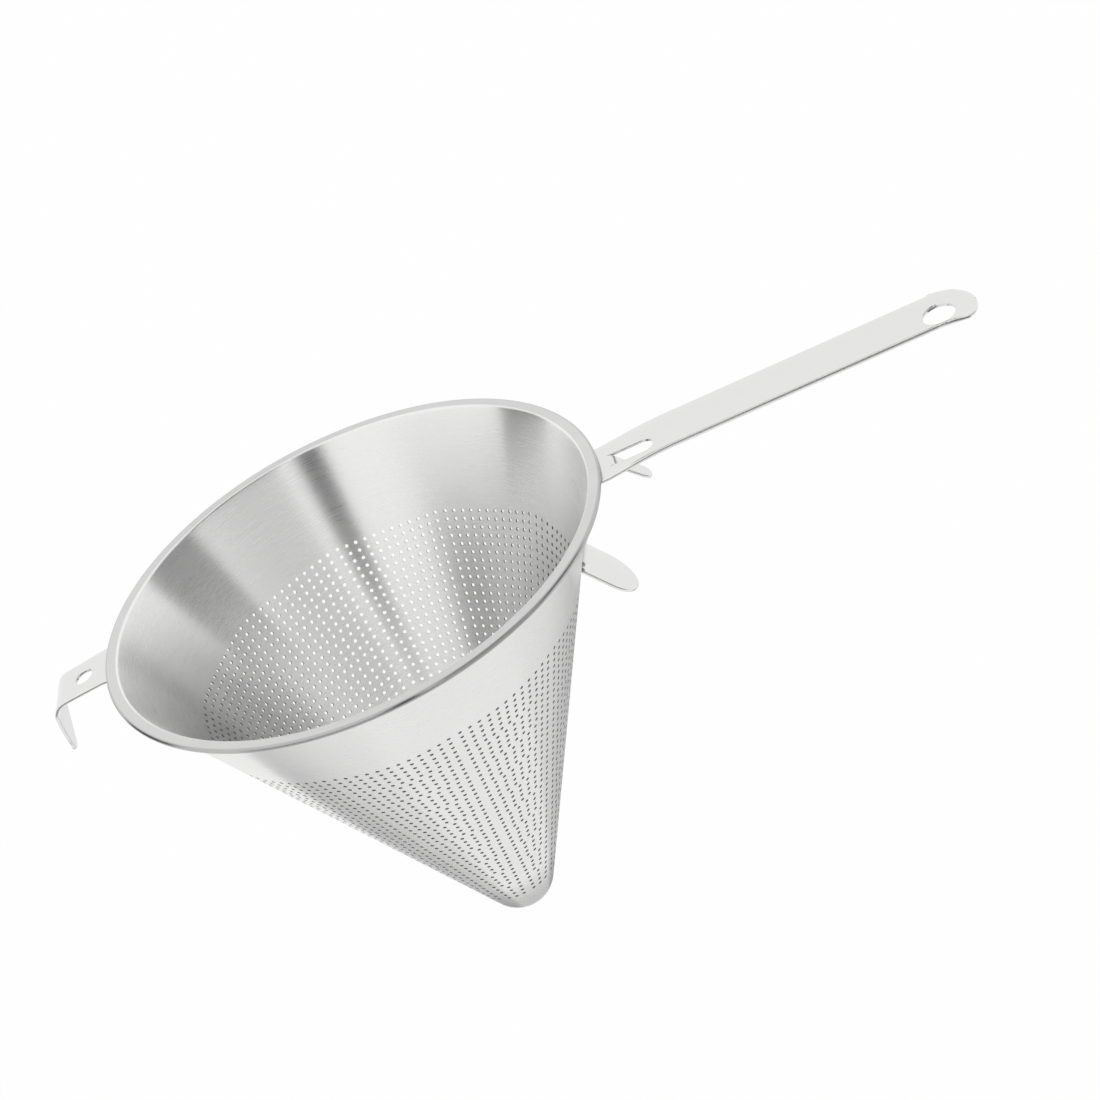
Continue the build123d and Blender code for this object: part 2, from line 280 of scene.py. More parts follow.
class Maker:
    """Adds nodes to one tree, and links or sets their sockets."""

    def __init__(self, tree):
        self.tree = tree

    def node(self, kind, settings, values):
        """A node whose settings are made first, and whose sockets are then linked or set."""
        made = self.tree.nodes.new(kind)
        for name, value in settings.items():
            setattr(made, name, value)
        for name, value in values.items():
            socket = made.inputs[name]
            if isinstance(value, Term):
                self.tree.links.new(value.socket, socket)
            else:
                socket.default_value = value
        return made

    def term(self, kind, settings, values, output=0):
        """One output of a new node."""
        return Term(self, self.node(kind, settings, values).outputs[output])

    def maths(self, operation, *values):
        """Any other sum on numbers, such as a root or a sine."""
        return self.term("ShaderNodeMath", {"operation": operation}, dict(enumerate(values)))

    def share(self, value):
        """The value held between 0 and 1."""
        return self.term("ShaderNodeClamp", {}, {"Value": value})

    def fade(self, value, start, width):
        """0 up to the start, 1 from one width past it, and even in between."""
        return self.share((value - start) / width)

    def vector(self, x=0.0, y=0.0, z=0.0):
        """A vector made of three numbers."""
        return self.term("ShaderNodeCombineXYZ", {}, {"X": x, "Y": y, "Z": z})

    def parts(self, vector):
        """The three parts of a vector."""
        split = self.node("ShaderNodeSeparateXYZ", {}, {"Vector": vector})
        return [Term(self, output) for output in split.outputs]

    def place(self):
        """Where a point of the piece lies, in the frame that all pieces share."""
        return self.term("ShaderNodeTexCoord", {}, {}, "Object")

    def attribute(self, name):
        """A number that the mesh carries under this name."""
        return self.term("ShaderNodeAttribute", {"attribute_name": name}, {}, "Fac")

    def noise(self, place, scale, detail):
        return self.term("ShaderNodeTexNoise", {}, {"Vector": place, "Scale": scale, "Detail": detail})

    def bump(self, height, strength, distance):
        return self.term("ShaderNodeBump", {}, {"Height": height, "Strength": strength, "Distance": distance})

    def blend(self, amount, first, second):
        """Two colours mixed. The colour is the node's third output."""
        values = {"Factor": amount, "A": first, "B": second}
        return self.term("ShaderNodeMix", {"data_type": "RGBA"}, values, 2)

    def shape(self, kind, geometry, **values):
        """What a geometry node makes of one geometry, with the values of its other sockets."""
        return self.term(kind, {}, {"Geometry": geometry, **values})

    def joined(self, *shapes):
        """Several geometries as one."""
        made = self.tree.nodes.new("GeometryNodeJoinGeometry")
        for each in shapes:
            self.tree.links.new(each.socket, made.inputs["Geometry"])
        return Term(self, made.outputs[0])


def opaque(value):
    """A colour with its alpha."""
    return (*value, 1)


def fresh_material(name):
    """An empty node material and its maker."""
    made = bpy.data.materials.new(name)
    made.use_nodes = True
    made.node_tree.nodes.clear()
    return made, Maker(made.node_tree)


def end_in_metal(maker, base, roughness, normal, anisotropic=0.0, turn=0.0):
    """Ends a material in a metal. Anisotropy is the same all over, so it is set on the socket."""
    values = {
        "Base Color": base,
        "Metallic": 1.0,
        "Roughness": roughness,
        "Anisotropic": anisotropic,
        "Anisotropic Rotation": turn,
        "Normal": normal,
    }
    metal = maker.term("ShaderNodeBsdfPrincipled", {}, values)
    maker.node("ShaderNodeOutputMaterial", {}, {"Surface": metal})


def shaded(maker, base, light, dark=0.55):
    """The base colour, darkened where light falls to 0."""
    return maker.blend(light, opaque(dark * part for part in base), opaque(base))


def painted_shade(maker, radius, z):
    """How much painted shade darkens the metal on the flange, along the rim's outer edge and at the tip."""
    shade_zones = strainer().shade_zones
    flange = maker.fade(z, -shade_zones.flange_depth, shade_zones.depth_fade)
    flange *= maker.fade(radius, shade_zones.flange_radius, shade_zones.flange_fade)
    edge = maker.fade(radius, shade_zones.edge_radius, shade_zones.edge_fade)
    tip = maker.fade(z, -shade_zones.tip_depth, -shade_zones.tip_fade)
    return flange * shade_zones.flange + edge * shade_zones.edge + tip * shade_zones.tip


def brushed_sheet():
    """Sheet brushed round the cone: fine lines that run along each circle, with painted shade on the flange,
    the rim's outer edge, the tip and the hole walls.
    """
    finish = strainer().finish
    made, maker = fresh_material("brushed_sheet")
    place = maker.place()
    x, y, z = maker.parts(place)
    off_axis = 0.1 * MILLIMETRE
    radius = maker.maths("SQRT", x * x + y * y) + off_axis

    def grain(turns, per_metre, detail):
        return maker.noise(maker.vector(x / radius * turns, y / radius * turns, z * per_metre), 1.0, detail)

    fine = grain(9.0, 5200.0, 2.0)
    broad = grain(3.5, 900.0, 3.0)
    stain = maker.noise(place, 26.0, 3.0)
    bump = maker.bump(fine * 0.7 + broad * 0.3, 0.10, 0.04 * MILLIMETRE)
    # Brightness from the brushing grain and stains, less the painted shade on the flange, the rim's outer
    # edge and the tip.
    light = maker.share(0.80 + fine * 0.16 + broad * 0.14 + stain * 0.08 - painted_shade(maker, radius, z))
    hole_wall_shade = maker.attribute("hole_wall_shade")
    # On the hole walls the sheet's colour gives way to a dark painted shade; the roughness below also rises
    # there.
    base = maker.blend(hole_wall_shade, shaded(maker, finish.satin, light), opaque(finish.hole_wall_shade))
    roughness = maker.share(0.19 + fine * 0.10 + broad * 0.04 + stain * 0.05 + hole_wall_shade * 0.2)
    end_in_metal(maker, base, roughness, bump, anisotropic=0.9, turn=0.25)
    return made


def polished_strip():
    """Polished strip: faint lines along its length, small handling marks, and a painted highlight along the
    edges, which are also a little rougher.
    """
    made, maker = fresh_material("polished_strip")
    along, across, _ = maker.parts(maker.term("ShaderNodeUVMap", {"uv_map": "strip"}, {}))
    place = maker.place()
    streak = maker.noise(maker.vector(along * 45.0, across * 4200.0), 1.0, 3.0)
    smear = maker.noise(place, 70.0, 4.0)
    marks = maker.noise(place, 900.0, 2.0)
    edge = maker.attribute("edge")
    bump = maker.bump(streak * 0.8 + marks * 0.2, 0.06, 0.03 * MILLIMETRE)
    # Brightness from the grain streaks, plus a painted highlight along the edges.
    light = maker.share(0.90 + streak * 0.06 + edge * 0.08)
    roughness = maker.share(0.10 + streak * 0.05 + smear * 0.07 + edge * 0.05)
    end_in_metal(maker, shaded(maker, strainer().finish.polished, light), roughness, bump)
    return made


def weld_bead():
    """Dressed weld: duller, with ripples and a straw tint."""
    finish = strainer().finish
    made, maker = fresh_material("weld_bead")
    place = maker.place()
    ripple = maker.noise(place, 900.0, 3.0)
    tint = maker.share((maker.noise(place, 260.0, 2.0) - 0.4) * 2.0)
    bump = maker.bump(ripple, 0.4, 0.1 * MILLIMETRE)
    base = maker.blend(tint, opaque(finish.weld), opaque(finish.heat))
    end_in_metal(maker, base, maker.share(0.32 + ripple * 0.2), bump)
    return made


def brushed_seam():
    """Weld brushed flush with the wall: like the wall, without its lines, with the same painted shade on the
    flange, the rim's edge and the tip.
    """
    made, maker = fresh_material("brushed_seam")
    place = maker.place()
    x, y, z = maker.parts(place)
    radius = maker.maths("SQRT", x * x + y * y)
    ripple = maker.noise(place, 700.0, 3.0)
    bump = maker.bump(ripple, 0.15, 0.04 * MILLIMETRE)
    # Brightness from the weld's ripples, less the same painted shade on the flange, the rim's outer edge and
    # the tip.
    light = maker.share(0.80 + ripple * 0.3 - painted_shade(maker, radius, z))
    base = shaded(maker, strainer().finish.satin, light)
    end_in_metal(maker, base, maker.share(0.32 + ripple * 0.1), bump)
    return made


MATERIALS = {
    "brushed_sheet": brushed_sheet,
    "polished_strip": polished_strip,
    "weld_bead": weld_bead,
    "brushed_seam": brushed_seam,
}


def material(name):
    """The named finish, made the first time it is asked for."""
    return bpy.data.materials.get(name) or MATERIALS[name]()


def new_object(name, mesh):
    """An object at the origin, linked to the scene."""
    made = bpy.data.objects.new(name, mesh)
    bpy.context.scene.collection.objects.link(made)
    return made


def evaluated_mesh(piece):
    """A plain mesh of the piece with its modifiers done, which are then removed."""
    bpy.context.view_layer.update()
    graph = bpy.context.evaluated_depsgraph_get()
    done = piece.evaluated_get(graph)
    made = bpy.data.meshes.new_from_object(done, preserve_all_data_layers=True, depsgraph=graph)
    piece.modifiers.clear()
    return made


def settle(piece, finish, slot, *nodes):
    """Gives a finished piece its metal and its body, and hides the nodes that it stands for."""
    piece.data.materials.clear()
    piece.data.materials.append(material(finish))
    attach(piece, "root")
    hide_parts(*nodes)


def socket_kind(value):
    """The kind of input socket that takes a value."""
    if isinstance(value, bpy.types.Material):
        return "NodeSocketMaterial"
    return "NodeSocketInt" if isinstance(value, int) else "NodeSocketFloat"


def node_tree(name, build, values, takes_points=False):
    """A Geometry Nodes tree with a named input for each value. Build lays the nodes of its own."""
    tree = bpy.data.node_groups.new(name, "GeometryNodeTree")
    kinds = {"Points": "NodeSocketGeometry"} if takes_points else {}
    kinds.update({title: socket_kind(value) for title, value in values.items()})
    for title, kind in kinds.items():
        tree.interface.new_socket(name=title, in_out="INPUT", socket_type=kind)
    tree.interface.new_socket(name="Geometry", in_out="OUTPUT", socket_type="NodeSocketGeometry")
    maker = Maker(tree)
    entry = maker.node("NodeGroupInput", {}, {})
    given = {title: Term(maker, entry.outputs[title]) for title in kinds}
    shape = maker.shape("GeometryNodeRealizeInstances", build(maker, given))
    shape = maker.shape("GeometryNodeSetMaterial", shape, Material=given["Material"])
    maker.node("NodeGroupOutput", {}, {"Geometry": shape})
    return tree


def grow(piece, tree, values):
    """Runs a tree on a piece, with each input set by its socket's identifier."""
    step = piece.modifiers.new(tree.name, "NODES")
    step.node_group = tree
    for item in tree.interface.items_tree:
        if item.in_out == "INPUT" and item.name in values:
            step[item.identifier] = values[item.name]
    piece.data = evaluated_mesh(piece)


class Route:
    """A line of straight runs and round bends in an upright plane, measured along its length."""

    def __init__(self, corners, radii):
        corners = [Vector(corner) for corner in corners]
        self.pieces = []
        start = corners[0]
        for before, corner, after, radius in zip(corners, corners[1:], corners[2:], radii):
            inward = (corner - before).normalized()
            outward = (after - corner).normalized()
            turn = atan2(inward.x * outward.y - inward.y * outward.x, inward.dot(outward))
            cut = radius * tan(abs(turn) / 2)
            self.add_run(start, corner - inward * cut)
            self.add_bend(corner - inward * cut, inward, turn, radius)
            start = corner + outward * cut
        self.add_run(start, corners[-1])
        self.length = sum(piece[0] for piece in self.pieces)

    def add_run(self, start, end):
        self.pieces.append(((end - start).length, start, (end - start).normalized(), 0.0, 0.0))

    def add_bend(self, start, direction, turn, radius):
        self.pieces.append((radius * abs(turn), start, direction, turn, radius))

    def at(self, distance):
        """Point and left-hand normal at a distance along the line."""
        for piece in self.pieces[:-1]:
            if distance <= piece[0]:
                break
            distance -= piece[0]
        else:
            piece = self.pieces[-1]
        _, start, direction, turn, radius = piece
        left = Vector((-direction.y, direction.x))
        if not turn:
            return start + direction * distance, left
        side = 1.0 if turn > 0 else -1.0
        centre = start + left * (side * radius)
        swung = Matrix.Rotation(side * distance / radius, 2)
        return centre + swung @ (start - centre), swung @ left

    def marks(self):
        """Distances at which runs and bends meet, with steps round each bend."""
        found = [0.0]
        for run, _, _, turn, _ in self.pieces:
            steps = ceil(abs(turn) / BEND_STEP) if turn else 1
            found += [found[-1] + run * (step + 1) / steps for step in range(steps)]
        return found


def filled_marks(marks, step):
    """The marks with more between them, so that none lie further apart than a step."""
    found = [marks[0]]
    for mark in marks[1:]:
        gap = mark - found[-1]
        if gap > SAME_PLACE:
            parts = ceil(gap / step)
            found += [found[-1] + gap * (part + 1) / parts for part in range(parts)]
    return found


def tip_marks(radius):
    """Distances from a round tip at which its strip is drawn, close together at the tip."""
    steps = 18
    first = 0.012
    turns = [first + (pi / 2 - first) * step / steps for step in range(steps + 1)]
    return [radius * (1 - cos(turn)) for turn in turns]


def strip_marks(route, step, end_radius, start_radius=0.0):
    """Distances at which a strip with a round end, and maybe a round start, is drawn."""
    marks = [mark for mark in route.marks() if start_radius <= mark < route.length - end_radius]
    marks += tip_marks(start_radius) + [route.length - mark for mark in tip_marks(end_radius)]
    return filled_marks(sorted(marks), step)


def smooth_step(value):
    """A share that starts and ends gently, held between 0 and 1."""
    value = min(max(value, 0.0), 1.0)
    return value * value * (3 - 2 * value)


def round_tip(radius, along):
    """Half width of a strip at a distance from its fully round tip."""
    along = min(max(along, 0.0), radius)
    return max(sqrt(max(radius * radius - (radius - along) ** 2, 0.0)), LEAST_HALF_WIDTH)


def closest_of(first, second, blend):
    """The smaller of two lengths, with the corner between them rounded."""
    low = min(first, second)
    return low - blend * log(exp((low - first) / blend) + exp((low - second) / blend))


def half_angle(cone):
    """Angle between the wall and the cone's axis."""
    return atan((cone.rim_radius - cone.flange_width) / cone.apex_depth)


def wall_radius(cone, depth):
    """Radius of the wall's outer face at a depth below the rim's top."""
    return (cone.rim_radius - cone.flange_width) * (1 - depth / cone.apex_depth)


def cone_point(cone, slant, inset=0.0):
    """Radius and height on the wall, at a distance from its sharp point, set in from the outer face."""
    half = half_angle(cone)
    return (slant * sin(half) - inset * cos(half), slant * cos(half) - cone.apex_depth + inset * sin(half))


def strip_top(cone, strip):
    """Height of a strip's upper face where it passes under the rim."""
    return -cone.bead_height - strip.clearance


def wall_follow(x):
    """1 where a strip follows the round wall, falling to 0 as it comes out from under the rim."""
    cone, strip = strainer().cone, strainer().strip
    return 1 - smooth_step((x - cone.rim_radius + strip.root_land) / (2 * strip.root_land))


def ringed_mesh(name, rings, closed=False):
    """A mesh through rings of points, with both ends filled unless the last ring joins the first."""
    size = len(rings[0])
    faces = []
    for row in range(len(rings) if closed else len(rings) - 1):
        here = row * size
        there = (row + 1) % len(rings) * size
        for column in range(size):
            after = (column + 1) % size
            faces.append((here + column, here + after, there + after, there + column))
    if not closed:
        last = size * (len(rings) - 1)
        faces += [tuple(reversed(range(size))), tuple(range(last, last + size))]
    mesh = bpy.data.meshes.new(name)
    mesh.from_pydata([point for ring in rings for point in ring], [], faces)
    return mesh


def outward(mesh, merged=False):
    """Turns the faces of a closed mesh outwards, with doubled points merged first if asked."""
    work = bmesh.new()
    work.from_mesh(mesh)
    if merged:
        bmesh.ops.remove_doubles(work, verts=work.verts, dist=SAME_PLACE)
        loose = [edge for edge in work.edges if not edge.link_faces]
        bmesh.ops.delete(work, geom=loose, context="EDGES")
    bmesh.ops.recalc_face_normals(work, faces=work.faces)
    if work.calc_volume(signed=True) < 0:
        bmesh.ops.reverse_faces(work, faces=work.faces)
    work.to_mesh(mesh)
    work.free()


def turned_shell(name, profile, columns, start=0.0, opening=0.0):
    """A closed profile of (radius, height) turned round the axis, with an opening of even width."""
    rings = []
    for column in range(columns + 1 if opening else columns):
        ring = []
        for radius, height in profile:
            gap = opening / 2 / radius if opening else 0.0
            azimuth = start + gap + (2 * pi - 2 * gap) * column / columns
            ring.append((radius * cos(azimuth), radius * sin(azimuth), height))
        rings.append(ring)
    mesh = ringed_mesh(name, rings, closed=not opening)
    outward(mesh, merged=True)
    mesh.shade_smooth()
    mesh.set_sharp_from_angle(angle=SHELL_CREASE)
    return new_object(name, mesh)


def strip_section(sheet, edge_round):
    """Once round a strip's section: share of the flat half width, reach out on the rounded edge, depth
    below the upper face, and how near to the edge the point is."""
    across, arc_steps, crowding, edge_power = 17, 4, 0.35, 8
    evenly = [-1 + 2 * step / (across - 1) for step in range(across)]
    spread = [sin(each * pi / 2) * crowding + each * (1 - crowding) for each in evenly]
    turns = [pi / 2 * step / arc_steps for step in range(1, arc_steps + 1)]
    bend = [(edge_round * sin(turn), edge_round * (1 - cos(turn))) for turn in turns]
    upper = [(each, 0.0, 0.0, abs(each) ** edge_power) for each in spread]
    upper += [(1.0, swing, drop, 1.0) for swing, drop in bend]
    upper += [(1.0, swing, sheet - drop, 1.0) for swing, drop in reversed(bend)]
    return upper + [(-each, -swing, sheet - drop, near) for each, swing, drop, near in upper]


def strip_piece(name, route, stations, sheet, outline, rise=None):
    """A bent strip with rounded edges. Outline gives its half width along the route, and rise the height
    and slope of its surface across the width."""
    edge_round = strainer().strip.edge_round
    section = strip_section(sheet, edge_round)
    tiny = 0.02 * MILLIMETRE
    least_inner = 0.01 * MILLIMETRE
    rings = []
    places = []

    def point_at(distance, across, depth):
        point, normal = route.at(distance)
        height, slope = rise(distance, point.x, across) if rise else (0.0, 0.0)
        shift = height - depth * sqrt(1 + slope * slope)
        x = point.x + normal.x * shift
        x -= wall_follow(point.x) * (x - sqrt(max(x * x - across * across, 0.0)))
        return x, across, point.y + normal.y * shift

    for distance in stations:
        low, high = max(distance - tiny, stations[0]), min(distance + tiny, stations[-1])
        grade = (outline(high) - outline(low)) / (high - low)
        size = sqrt(1 + grade * grade)
        back, out = -grade / size, 1 / size
        inner = max(outline(distance) - edge_round * out, least_inner)
        start = distance - edge_round * back
        ring = []
        for each, swing, depth, _ in section:
            along, across = start + abs(swing) * back, inner * each + swing * out
            ring.append(point_at(along, across, depth))
            places.append((along, across - depth))
        rings.append(ring)
    mesh = ringed_mesh(name, rings)
    layer = mesh.uv_layers.new(name="strip")
    for corner in mesh.loops:
        layer.data[corner.index].uv = places[corner.vertex_index]
    mark = mesh.attributes.new("edge", "FLOAT", "POINT")
    mark.data.foreach_set("value", [near for _, _, _, near in section] * len(stations))
    outward(mesh)
    return new_object(name, mesh)


def on_slope(x, z, slope):
    """A function that places a point on a sloping plane through (x, 0, z)."""

    def place(along, across, height):
        out = x + along * cos(slope) - height * sin(slope)
        return out, across, z + along * sin(slope) + height * cos(slope)

    return place


def round_outline(radius):
    """Outline of a round hole, as a function of how much it is grown."""
    steps = 64
    turns = [2 * pi * step / steps for step in range(steps)]
    return lambda grow: [((radius + grow) * cos(turn), (radius + grow) * sin(turn)) for turn in turns]


def slot_outline(long, half):
    """Outline of a slot with a square inner end and a round outer end, as a function like the one above."""
    steps = 24
    turns = [-pi / 2 + pi * step / steps for step in range(steps + 1)]

    def outline(grow):
        wide = half + grow
        tip = [(long - half + wide * cos(turn), wide * sin(turn)) for turn in turns]
        return [(0.0, wide), (0.0, -wide)] + tip

    return outline


def flared_cutter(outline, place):
    """A cutter whose walls open out at both faces of the strip, which leaves the cut's edges rounded.
    Outline gives the points of the cut, grown by a distance, and place puts a point on the strip."""
    sheet, flare = strainer().strip.sheet, strainer().strip.cut_round
    overrun = 4 * flare
    turns = (0.0, 0.4, 0.8, 1.2, pi / 2)
    levels = [(overrun, flare + overrun)]
    levels += [(-flare * (1 - cos(turn)), flare * (1 - sin(turn))) for turn in turns]
    levels += [(-sheet - height, grow) for height, grow in reversed(levels)]
    mesh = ringed_mesh("cutter", [[place(x, y, height) for x, y in outline(grow)] for height, grow in levels])
    outward(mesh)
    return new_object("cutter", mesh)


def cut_and_smooth(piece, *cutters):
    """Cuts the openings, then shades the strip smooth with its flat faces kept flat."""
    for cutter in cutters:
        step = piece.modifiers.new("opening", "BOOLEAN")
        step.operation = "DIFFERENCE"
        step.solver = "MANIFOLD"
        step.object = cutter
    piece.data = evaluated_mesh(piece)
    for cutter in cutters:
        bpy.data.objects.remove(cutter)
    piece.data.shade_smooth()
    piece.data.set_sharp_from_angle(angle=STRIP_CREASE)
    even = piece.modifiers.new("even", "WEIGHTED_NORMAL")
    even.mode = "FACE_AREA"
    even.keep_sharp = True
    piece.data = evaluated_mesh(piece)


def join_to(piece, other):
    """Adds another closed body to a piece."""
    work = bmesh.new()
    work.from_mesh(piece.data)
    work.from_mesh(other.data)
    work.to_mesh(piece.data)
    work.free()
    bpy.data.objects.remove(other)


def punched_holes(maker, given, sector, index):
    """Perforations of one sector on the flat blank, row by row from the top."""
    row = maker.maths("FLOOR", index / given["Row Holes"])
    place = index - row * given["Row Holes"]
    lost = maker.maths("MAXIMUM", maker.maths("FLOOR", (row - 1) / given["Row Step"]), 0.0)
    count = given["Row Holes"] - lost
    away = given["First Row"] - row * given["Row Pitch"]
    reach = away * maker.maths("TANGENT", sector / 2) - given["Edge Margin"]
    side = place * 2 * reach / (count - 1) - reach
    dots = maker.term("GeometryNodePoints", {}, {"Count": given["Rows"] * given["Row Holes"]})
    dots = maker.shape("GeometryNodeSetPosition", dots, Position=maker.vector(side, away))
    spare = 1 - maker.maths("LESS_THAN", place, count - 0.5)
    values = {"Geometry": dots, "Selection": spare}
    dots = maker.term("GeometryNodeDeleteGeometry", {"domain": "POINT"}, values)
    values = {"Resolution": given["Hole Sides"], "Radius": given["Hole Radius"]}
    circle = maker.term("GeometryNodeCurvePrimitiveCircle", {}, values)
    rings = maker.term("GeometryNodeInstanceOnPoints", {}, {"Points": dots, "Instance": circle})
    return maker.shape("GeometryNodeRealizeInstances", rings)


def sector_outline(maker, given, sector, index):
    """Outline of a sector: along the tip's arc, up one edge, back along the rim's arc, down the other."""
    facets, steps = given["Facets"], given["Edge Steps"]
    turn = maker.share(index / facets) - maker.share((index - facets - steps) / facets)
    climb = maker.share((index - facets) / steps) - maker.share((index - 2 * facets - steps) / steps)
    swing = (turn - 0.5) * sector
    slant = given["Bottom Slant"] + climb * (given["Top Slant"] - given["Bottom Slant"])
    corner = maker.vector(slant * maker.maths("SINE", swing), slant * maker.maths("COSINE", swing))
    values = {"Resolution": 2 * (facets + steps), "Radius": 1.0}
    ring = maker.term("GeometryNodeCurvePrimitiveCircle", {}, values)
    return maker.shape("GeometryNodeSetPosition", ring, Position=corner)


def flat_blank(maker, given, sector, index, curves):
    """The blank: each sector filled between its outline and its holes, laid side by side as a fan."""
    sheet = maker.term("GeometryNodeFillCurve", {"mode": "TRIANGLES"}, {"Curve": curves})
    turned = maker.vector(z=(given["Sectors"] / 2 - 0.5 - index) * sector)
    pins = maker.term("GeometryNodePoints", {}, {"Count": given["Sectors"]})
    values = {"Points": pins, "Instance": sheet, "Rotation": turned}
    fan = maker.term("GeometryNodeInstanceOnPoints", {}, values)
    fan = maker.shape("GeometryNodeRealizeInstances", fan)
    merge = 0.01 * MILLIMETRE
    fan = maker.shape("GeometryNodeMergeByDistance", fan, Distance=merge)
    values = {"Mesh": fan, "Offset": maker.vector(z=given["Sheet"]), "Individual": False}
    raised = maker.term("GeometryNodeExtrudeMesh", {"mode": "FACES"}, values, "Mesh")
    under = maker.term("GeometryNodeFlipFaces", {}, {"Mesh": fan})
    return maker.shape("GeometryNodeMergeByDistance", maker.joined(raised, under), Distance=merge)


def punched_cone(maker, given):
    """Punches the flat blank and rolls it into the cone's wall."""
    half = maker.maths("ARCTANGENT", given["Mouth Radius"] / given["Apex Depth"])
    lean, rise = maker.maths("SINE", half), maker.maths("COSINE", half)
    sector = 2 * pi * lean / given["Sectors"]
    index = maker.term("GeometryNodeInputIndex", {}, {})
    outline = sector_outline(maker, given, sector, index)
    holes = punched_holes(maker, given, sector, index)
    blank = flat_blank(maker, given, sector, index, maker.joined(outline, holes))

    # Rolling: a distance from the point becomes a slant, and an angle on the blank an azimuth
    x, y, height = maker.parts(maker.term("GeometryNodeInputPosition", {}, {}))
    slant = maker.maths("SQRT", x * x + y * y)
    way = maker.maths("ARCTAN2", x, y) / (sector * given["Sectors"]) + 0.5
    inset = given["Sheet"] - height
    gap = given["Seam Half Width"] / (slant * lean)
    azimuth = given["Seam Azimuth"] + gap + way * (2 * pi - 2 * gap)
    radius = slant * lean - inset * rise
    rolled = maker.vector(
        radius * maker.maths("COSINE", azimuth),
        radius * maker.maths("SINE", azimuth),
        slant * rise - given["Apex Depth"] + inset * lean,
    )
    return maker.shape("GeometryNodeSetPosition", blank, Position=rolled)


def read_all(items, name, width, kind=float):
    """A value of every item, or a row of values, as an array."""
    found = np.empty(len(items) * width, dtype=kind)
    items.foreach_get(name, found)
    return found.reshape(-1, width)


def true_cone_normals(mesh, cone):
    """Gives both faces of the rolled sheet the exact normals of a cone, leaves the cut edges flat and marks
    them for the painted shade and rougher metal of the hole walls."""
    flat_enough = 0.8
    half = half_angle(cone)
    places = read_all(mesh.vertices, "co", 3)
    around = places[:, :2] / np.linalg.norm(places[:, :2], axis=1)[:, None]
    outside = np.column_stack((around * cos(half), np.full(len(places), -sin(half))))
    sizes = read_all(mesh.polygons, "loop_total", 1, int)[:, 0]
    normals = np.repeat(read_all(mesh.polygons, "normal", 3), sizes, axis=0)
    wanted = outside[read_all(mesh.loops, "vertex_index", 1, int)[:, 0]]
    facing = (normals * wanted).sum(axis=1)
    sheet_face = np.abs(facing) > flat_enough
    normals[sheet_face] = wanted[sheet_face] * np.sign(facing[sheet_face])[:, None]
    cut = mesh.attributes.new("hole_wall_shade", "FLOAT", "CORNER")
    cut.data.foreach_set("value", np.where(sheet_face, 0.0, 1.0))
    mesh.shade_smooth()
    mesh.normals_split_custom_set(normals.tolist())


class STRAINER_OT_wall(bpy.types.Operator):
    """Make the perforated wall with its curled rim"""

    bl_idname = "strainer.wall"
    bl_label = "Perforated Wall"

    def execute(self, context):
        cone, holes = strainer().cone, strainer().holes
        bottom = cone.dome_radius / tan(half_angle(cone)) + cone.cap_skirt + cone.weld_gap
        top = holes.first_row + holes.plain_margin
        values = {
            "Mouth Radius": cone.rim_radius - cone.flange_width,
            "Apex Depth": cone.apex_depth,
            "Sheet": cone.sheet,
            "Bottom Slant": bottom,
            "Top Slant": top,
            "Seam Azimuth": cone.seam_azimuth,
            "Seam Half Width": cone.seam_width / 2,
            "Hole Radius": holes.diameter / 2,
            "First Row": holes.first_row,
            "Row Pitch": holes.row_pitch,
            "Edge Margin": holes.edge_margin,
            "Rows": holes.rows,
            "Row Step": holes.row_step,
            "Row Holes": holes.row_holes,
            "Sectors": holes.sectors,
            "Hole Sides": holes.sides,
            "Facets": cone.facets,
            "Edge Steps": ceil((top - bottom) / holes.row_pitch),
            "Material": material("brushed_sheet"),
        }
        wall = new_object("perforated_wall", bpy.data.meshes.new("perforated_wall"))
        grow(wall, node_tree("perforated_wall", punched_cone, values), values)
        true_cone_normals(wall.data, cone)
        settle(wall, "brushed_sheet", "satin_steel", "strainer_cone")
        rim = self.rim(cone, top, cone.facets * holes.sectors)
        settle(rim, "brushed_sheet", "satin_steel", "strainer_cone")
        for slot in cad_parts["seam_weld"].material_slots:
            slot.material = material("brushed_seam")
        return {"FINISHED"}

    def rim(self, cone, top, columns):
        """Plain band above the perforations, turned out into a flange whose edge is curled under."""
        edge = cone.rim_radius
        corners = [
            cone_point(cone, top, cone.sheet),
            (edge - cone.flange_width - cone.sheet / cos(half_angle(cone)), 0.0),
            (edge, 0.0),
            (edge, -cone.bead_height),
            (edge - cone.curl, -cone.bead_height),
        ]
        line = Route(corners, (cone.mouth_bend, cone.bead_edge, cone.bead_edge))
        near, far = [], []
        for distance in filled_marks(line.marks(), RIM_STEP):
            point, normal = line.at(distance)
            near.append(tuple(point))
            far.append(tuple(point - normal * cone.sheet))
        return turned_shell("plain_rim", near + far[::-1], columns, cone.seam_azimuth, cone.seam_width)


